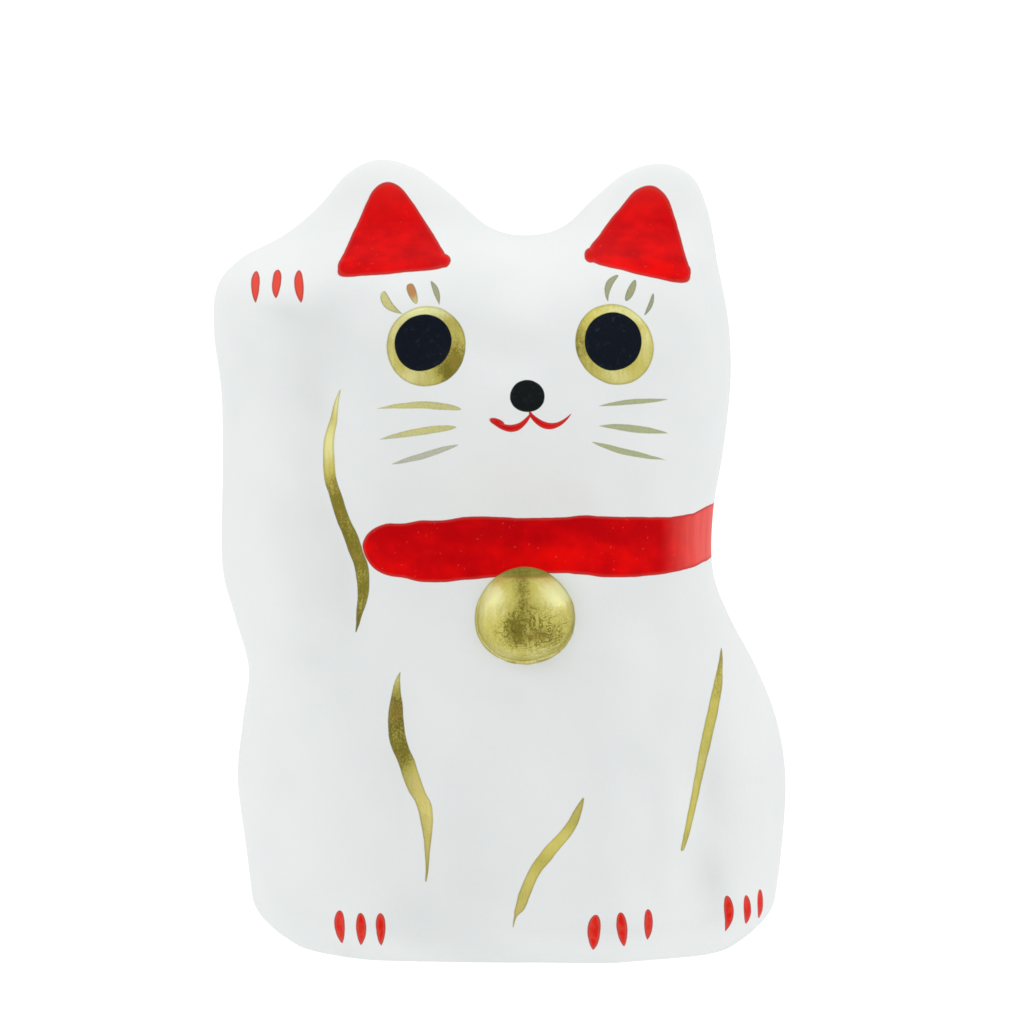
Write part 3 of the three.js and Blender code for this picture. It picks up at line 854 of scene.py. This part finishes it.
def gold_insides(n, group, x, z, back):
    """How far inside the gold of the long strokes and eyes, or of tail and haunches behind."""
    inside = spots(n, x, z, EYES)
    for table in (ARM_STROKE, THIGH_STROKE, FORELEG_STROKE, HAUNCH_STROKE):
        inside = n.math("MAXIMUM", inside, n.math("MINIMUM", *band(n, z, x, table)))
    behind = n.math("MAXIMUM", tail_stroke(n, x, z), strokes(n, group, x, z, HAUNCH_LINES))
    return n.blend(back, inside, behind)


def red_insides(n, group, x, z, back):
    """How far inside the red of collar, ears and mouth, or of the collar behind."""
    inside = rounded(n, *band(n, x, z, COLLAR_FRONT), COLLAR_ROUND)
    inside = n.math("MAXIMUM", inside, strokes(n, group, x, z, MOUTH))
    inside = n.math("MAXIMUM", inside, spots(n, x, z, EAR_LOBES + MOUTH_BLOT))
    inside = n.math("MAXIMUM", inside, triangle(n, x, z, RIGHT_EAR, RIGHT_EAR_ROUND))
    inside = n.math("MAXIMUM", inside, triangle(n, x, z, LEFT_EAR, LEFT_EAR_ROUND))
    behind = rounded(n, *band(n, x, z, COLLAR_BACK), COLLAR_ROUND)
    return n.blend(back, inside, behind)


def gold_look(n, drawn, x, z, inside, grain, painted_crease_shade):
    """Bronze powder in a binder: bright in painted highlights, olive and grainy with brown patches in painted
    shade, paler in painted sheen, warmer low down, darker along its edges, and darkened along folds with
    painted shade."""
    # painted light and shade: spots of painted highlight, of painted shade as a dark reflection, and of
    # painted sheen
    painted_highlight = n.ramp(spots(n, x, z, GOLD_PAINTED_HIGHLIGHT), -1.8, 1.6)
    painted_shade = n.ramp(spots(n, x, z, GOLD_PAINTED_SHADE), -1.8, 1.6)
    painted_sheen = n.ramp(spots(n, x, z, GOLD_PAINTED_SHEEN), -1.2, 0.9)
    tone = n.math("MULTIPLY_ADD", n.noise(drawn, 0.2, 1.0), GOLD_TONE["slow"], GOLD_TONE["least"])
    tone = n.math("MULTIPLY_ADD", painted_highlight, GOLD_TONE["painted_highlight"], tone)
    tone = n.math("MULTIPLY_ADD", painted_shade, GOLD_TONE["painted_shade"], tone)
    tone = n.math("MULTIPLY_ADD", painted_sheen, GOLD_TONE["painted_sheen"], tone)
    bristles = n.noise(n.stretched(drawn, (2.0, 2.0, 0.2)), 1.0, 1.0)
    tone = n.math("MULTIPLY_ADD", n.math("SUBTRACT", bristles, 0.5), GOLD_TONE["bristles"], tone)
    # the grain is stronger in the spots of painted shade
    speck = n.math("MULTIPLY_ADD", painted_shade, GOLD_TONE["grain_in_painted_shade"], GOLD_TONE["grain"])
    tone = n.math("MULTIPLY_ADD", grain, speck, tone)
    # painted shade darkening the gold along the bell's crumpled folds
    tone = n.math("MULTIPLY_ADD", painted_crease_shade, GOLD_TONE["painted_crease_shade"], tone)
    colour = n.mix(n.ramp(tone, 0.1, 0.6), GOLD_DARKEST, GOLD_MIDDLE)
    # brown patches only within the spots of painted shade
    brown = n.math("MULTIPLY", painted_shade, n.ramp(n.noise(drawn, 0.35, 1.0), 0.5, 0.68, 0.0, 0.45))
    colour = n.mix(brown, colour, GOLD_BROWN)
    warm = n.math("MULTIPLY", n.ramp(z, *BODY_GOLD), n.ramp(x, *BEFORE_HAUNCH))
    bright = n.mix(warm, GOLD_BRIGHT, GOLD_WARM)
    # the painted sheen: paler gold in its spots
    bright = n.mix(painted_sheen, bright, GOLD_SHEEN_PALEST)
    colour = n.mix(n.ramp(tone, 0.55, 1.0), colour, bright)
    return n.mix(n.ramp(inside, *GOLD_EDGE), colour, GOLD_RIM)


def fine_gold_look(n, x, z, inside, grain):
    """Gold in strokes too fine to shine: yellow at the cat's right, green in the other whiskers, olive
    in the other lashes, grey in the lowest whisker at the right and brown in one lash."""
    green = n.math("MULTIPLY", n.ramp(z, *LASHES_FROM), n.ramp(x, *LAST_RIGHT_LASH))
    green = n.math("MAXIMUM", green, n.ramp(x, *RIGHT_TO_LEFT))
    cool = n.mix(n.ramp(z, *WHISKERS_TO_LASHES), FINE_GREEN, FINE_OLIVE)
    colour = n.mix(green, FINE_YELLOW, cool)
    low = n.math("MULTIPLY", n.ramp(z, *LOWEST_WHISKERS), n.ramp(x, *LEFT_TO_RIGHT))
    colour = n.mix(low, colour, FINE_GREY)
    brown = n.ramp(spots(n, x, z, BROWN_LASH), -0.6, 0.5)
    colour = n.mix(brown, colour, FINE_BROWN)
    rim = n.math("MULTIPLY", n.ramp(inside, *FINE_EDGE), n.ramp(z, *WHISKERS_TO_LASHES, 0.35, 1.0))
    rim = n.math("MULTIPLY_ADD", grain, FINE_GRAIN, rim)
    return n.mix(rim, colour, FINE_RIM)


def red_look(n, drawn, x, z, inside):
    """Opaque red, softly blotched: darker along the collar's upper half with painted shade, brighter in spots
    with painted light, paler at the ears' tips, dull along its edges, and worn to a thinner coat at the
    collar's far side."""
    streaks = n.noise(n.stretched(drawn, (0.16, 0.16, 0.4)), 1.0, 2.0, 0.5)
    tone = n.blend(RED_TONE["streaks"], n.noise(drawn, 0.32, 2.0), streaks)
    # painted light in the red's brightest spots
    bright = n.ramp(spots(n, x, z, RED_PAINTED_LIGHT), -2.6, 1.8)
    tone = n.math("MULTIPLY_ADD", bright, RED_TONE["bright"], tone)
    collar = n.ramp(z, *OVER_COLLAR)
    # painted shade over the collar's upper half
    upper = n.math("MULTIPLY", n.ramp(z, *COLLAR_UPPER), collar)
    tone = n.math("MULTIPLY_ADD", upper, RED_TONE["upper"], tone)
    colour = n.mix(n.ramp(tone, 0.28, 0.85), RED_DEEP, RED_CLEAR)
    colour = n.mix(n.ramp(z, *EAR_TIPS, 0.0, 0.6), colour, RED_PALER)
    specks = n.ramp(n.noise(drawn, 2.4, 0.0), 0.79, 0.85, 0.0, 0.24)
    colour = n.mix(specks, colour, RED_SPECK)
    aside = n.math("MULTIPLY", n.ramp(x, *COLLAR_WORN), collar)
    bands = n.noise(n.stretched(drawn, (0.5, 0.5, 0.06)), 1.0, 1.0)
    worn = n.math("MULTIPLY", aside, n.ramp(bands, 0.3, 0.7, 0.7, 0.95))
    colour = n.mix(worn, colour, RED_WORN)
    return n.mix(n.ramp(inside, *RED_EDGE), colour, RED_RIM)


def claw_look(n, drawn, z, inside):
    """Thinned red, deeper along the middle and in the feet, dull along its edges and tips."""
    deep = n.math("MULTIPLY", n.ramp(inside, 0.12, 0.5), n.ramp(z, *PAW_TO_FEET, 0.25, 1.0))
    deep = n.math("MULTIPLY", deep, n.ramp(n.noise(drawn, 0.6, 2.0), 0.3, 0.6, 0.45, 1.0))
    colour = n.mix(deep, CLAW_PALE, CLAW_DEEP)
    return n.mix(n.ramp(inside, *CLAW_EDGE), colour, CLAW_RIM)


def bell_inside(n, x, z):
    """How far inside the bell's gold, with x drawn out by BELL_NARROW for each radius of height."""
    share = BELL_NARROW / BELL["radius_z"]
    out = n.math("MULTIPLY_ADD", z, share, 1 - share * BELL["z"])
    off_x = n.math("SUBTRACT", x, BELL["x"])
    return spots(n, n.math("MULTIPLY", off_x, out), z, BELL_GOLD)


def paint_material(move):
    """Shell-white ground with brush-painted gold, red and black, on Object coordinates."""
    material = bpy.data.materials.new("painted_paper")
    material.use_nodes = True
    tree = material.node_tree
    tree.nodes.clear()
    n = Nodes(tree)
    metres = n.add("TexCoord", output=3)
    drawn = n.add("Mapping", {"Vector": metres, "Location": tuple(-move / MM), "Scale": (1 / MM,) * 3})
    y = parts(n, drawn)[1]
    front = n.math("LESS_THAN", y, FRONT_FROM)
    back = n.math("SUBTRACT", 1.0, front)
    x, _, z = parts(n, unsteady(n, drawn))
    group = stroke_group()
    grainy = n.noise(drawn, 3.6, 2.0, 0.7)
    grain = n.ramp(grainy, 0.36, 0.64, -0.5, 0.5)

    # how far each place is inside each paint, and its cover
    gold_in = gold_insides(n, group, x, z, back)
    gold = cover(n, gold_in)
    fine_in = strokes(n, group, x, z, LASHES + WHISKERS)
    fine = n.math("MULTIPLY", cover(n, fine_in), front)
    red_in = red_insides(n, group, x, z, back)
    red = cover(n, red_in)
    front_claws = strokes(n, group, x, z, CLAWS)
    side_claws = n.furthest(side_stroke(n, group, x, y, z, row) for row in SIDE_CLAWS)
    claw_in = n.math("MAXIMUM", front_claws, side_claws)
    claw = n.math("MULTIPLY", cover(n, claw_in), front)
    bell_in = bell_inside(n, x, z)
    bell = n.math("MULTIPLY", cover(n, bell_in), front)
    black = n.math("MULTIPLY", cover(n, spots(n, x, z, PUPILS + NOSE)), front)

    cloudy = n.ramp(n.noise(drawn, 0.05, 2.0), 0.3, 0.7)
    colour = n.mix(cloudy, GROUND_DIM, GROUND_CLEAR)
    crumple = n.noise(drawn, 0.62, 3.0, 0.6, distortion=1.4)
    wrinkled = n.math("MULTIPLY", bell, n.ramp(spots(n, x, z, WRINKLED), -2.0, 1.5, 0.12, 1.0))
    # painted shade: the gold darkened along the folds of the bell's crumpled skin
    painted_crease_shade = n.math("ABSOLUTE", n.math("SUBTRACT", crumple, 0.5))
    painted_crease_shade = n.math("MULTIPLY", n.ramp(painted_crease_shade, 0.0, 0.06, 1.0, 0.0), wrinkled)
    gold_colour = gold_look(n, drawn, x, z, n.math("MAXIMUM", gold_in, bell_in), grain, painted_crease_shade)
    colour = n.mix(gold, colour, gold_colour)
    colour = n.mix(fine, colour, fine_gold_look(n, x, z, fine_in, grain))
    colour = n.mix(red, colour, red_look(n, drawn, x, z, red_in))
    colour = n.mix(claw, colour, claw_look(n, drawn, z, claw_in))
    # the bell's gold, darkened above its flattened top with painted shade along the crease under the collar
    colour = n.mix(bell, colour, n.mix(n.ramp(z, *BELL_TOP, 0.0, 0.55), gold_colour, GOLD_SHADED_ON_RED))
    dust = n.ramp(n.noise(drawn, 1.1, 4.0, 0.75), 0.5, 0.8)
    blackest = n.mix(n.ramp(z, *NOSE_TO_PUPILS), BLACK_NOSE, BLACK_PUPIL)
    colour = n.mix(black, colour, n.mix(dust, blackest, BLACK_DUST))

    # metal: the bell's brow is too dull to mirror the collar
    over_red = n.math("MULTIPLY", gold, n.math("SUBTRACT", 1.0, red))
    metal = n.math("MULTIPLY", n.math("MAXIMUM", over_red, bell), n.math("SUBTRACT", 1.0, black))
    brow = n.math("MULTIPLY", n.ramp(z, *BELL_BROW), bell)
    shine = n.math("MULTIPLY", metal, n.math("MULTIPLY_ADD", brow, METALLIC["brow"], METALLIC["gold"]))
    shine = n.math("MAXIMUM", shine, n.math("MULTIPLY", fine, METALLIC["fine"]))
    rough = n.blend(metal, ROUGH["ground"], n.math("MULTIPLY_ADD", grain, ROUGH["gold_grain"], ROUGH["gold"]))
    rough = n.blend(n.math("MAXIMUM", red, claw), rough, ROUGH["red"])
    rough = n.blend(bell, rough, n.math("MULTIPLY_ADD", grain, ROUGH["bell_grain"], ROUGH["bell"]))
    rough = n.blend(black, rough, ROUGH["black"])

    # relief: a fine ground, grain in the gold, wrinkles in the bell's skin
    ground = n.noise(drawn, 0.9, 4.0, 0.62)
    bump = n.add("Bump", {"Strength": 1.0, "Distance": GROUND_RELIEF * MM, "Height": ground})
    bump = n.add("Bump", {"Strength": metal, "Distance": GRAIN_RELIEF * MM, "Height": grainy, "Normal": bump})
    bump = n.add("Bump", {"Strength": wrinkled, "Distance": WRINKLE_RELIEF * MM, "Height": crumple,
                          "Normal": bump})

    shader = n.add("BsdfPrincipled", {
        "Base Color": colour, "Metallic": shine, "Roughness": rough, "Normal": bump,
        "Specular IOR Level": SPECULAR,
    })
    out = tree.nodes.new("ShaderNodeOutputMaterial")
    tree.links.new(shader, out.inputs["Surface"])
    return material


# The view of the photograph, from slightly above with a long lens, in metres
VIEW_DISTANCE = 1.5
VIEW_RISE = math.radians(5.0)
FRAME_WIDTH = 0.1569
AIM = Vector((0.00176, 0.0, 0.0658))
SENSOR = 36.0
FAR_END = 50.0

# The studio: the tent's light at its sides, before and behind, in its opening, and more overhead
TENT_SIDES = 1.0
TENT_ENDS = 0.77
TENT_OPENING = 0.35
TENT_OVERHEAD = 0.3
# Soft boxes as (name, place, size, power), in metres and watts
SOFT_BOXES = [
    ("left_box", (-1.1, 0.0, 0.65), (0.22, 0.3), 0.5),
    ("right_box", (1.1, 0.0, 0.65), (0.22, 0.3), 0.5),
    ("top_box", (0.0, 0.0, 1.2), (0.9, 0.6), 1.2),
]
FLOOR_REACH = 8.0
FLOOR_COLOUR = (0.15, 0.15, 0.15, 1)
FLOOR_ROUGH = 0.8
FLOOR_GLOW = 0.92


def make_camera():
    """The camera VIEW_RISE above level, with a lens that shows FRAME_WIDTH at AIM."""
    data = bpy.data.cameras.new("camera")
    data.sensor_width = SENSOR
    data.lens = SENSOR * VIEW_DISTANCE / FRAME_WIDTH
    data.clip_end = FAR_END
    camera = bpy.data.objects.new("camera", data)
    camera.location = AIM + VIEW_DISTANCE * Vector((0, -math.cos(VIEW_RISE), math.sin(VIEW_RISE)))
    camera.rotation_euler = (math.pi / 2 - VIEW_RISE, 0, 0)
    bpy.context.scene.collection.objects.link(camera)
    bpy.context.scene.camera = camera


def area_light(name, place, size, power):
    """A soft box that faces the cat."""
    data = bpy.data.lights.new(name, "AREA")
    data.shape = "RECTANGLE"
    data.size, data.size_y = size
    data.energy = power
    light = bpy.data.objects.new(name, data)
    light.location = place
    light.rotation_euler = (AIM - Vector(place)).to_track_quat("-Z", "Y").to_euler()
    bpy.context.scene.collection.objects.link(light)


def make_studio():
    """A white tent, dim where the camera stands in its opening, with a soft box on each side of it
    and one overhead."""
    world = bpy.data.worlds.new("tent")
    bpy.context.scene.world = world
    world.use_nodes = True
    tree = world.node_tree
    tree.nodes.clear()
    n = Nodes(tree)
    _, to_y, to_z = parts(n, n.add("TexCoord"))
    around = n.ramp(n.math("ABSOLUTE", to_y), 0.15, 0.7, TENT_SIDES, TENT_ENDS)
    opening = n.ramp(to_y, -0.98, -0.78, TENT_OPENING, 1.0)
    level = n.math("MULTIPLY", around, opening)
    strength = n.math("MULTIPLY_ADD", n.math("MAXIMUM", to_z, 0.0), TENT_OVERHEAD, level)
    background = n.add("Background", {"Color": (1, 1, 1, 1), "Strength": strength})
    out = tree.nodes.new("ShaderNodeOutputWorld")
    tree.links.new(background, out.inputs[0])
    for box in SOFT_BOXES:
        area_light(*box)


def make_floor():
    """A white, softly glowing table that runs past the view."""
    corners = np.array([(-1, -1, 0), (1, -1, 0), (1, 1, 0), (-1, 1, 0)]) * FLOOR_REACH
    floor = mesh_object("floor", corners / MM, np.array([[0, 1, 2, 3]]))
    material = bpy.data.materials.new("pale_floor")
    material.use_nodes = True
    shader = material.node_tree.nodes["Principled BSDF"]
    shader.inputs["Base Color"].default_value = FLOOR_COLOUR
    shader.inputs["Roughness"].default_value = FLOOR_ROUGH
    shader.inputs["Emission Color"].default_value = (1, 1, 1, 1)
    shader.inputs["Emission Strength"].default_value = FLOOR_GLOW
    floor.data.materials.append(material)


make_camera()
make_studio()
make_floor()
bpy.context.scene.view_settings.view_transform = "Standard"

cat = skin_object()
join_bell(cat, bell_object())
cat_move = place_in_row(cat)
cat.data.materials.clear()
cat.data.materials.append(paint_material(cat_move))
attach(cat, "root")
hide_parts("lucky_cat")
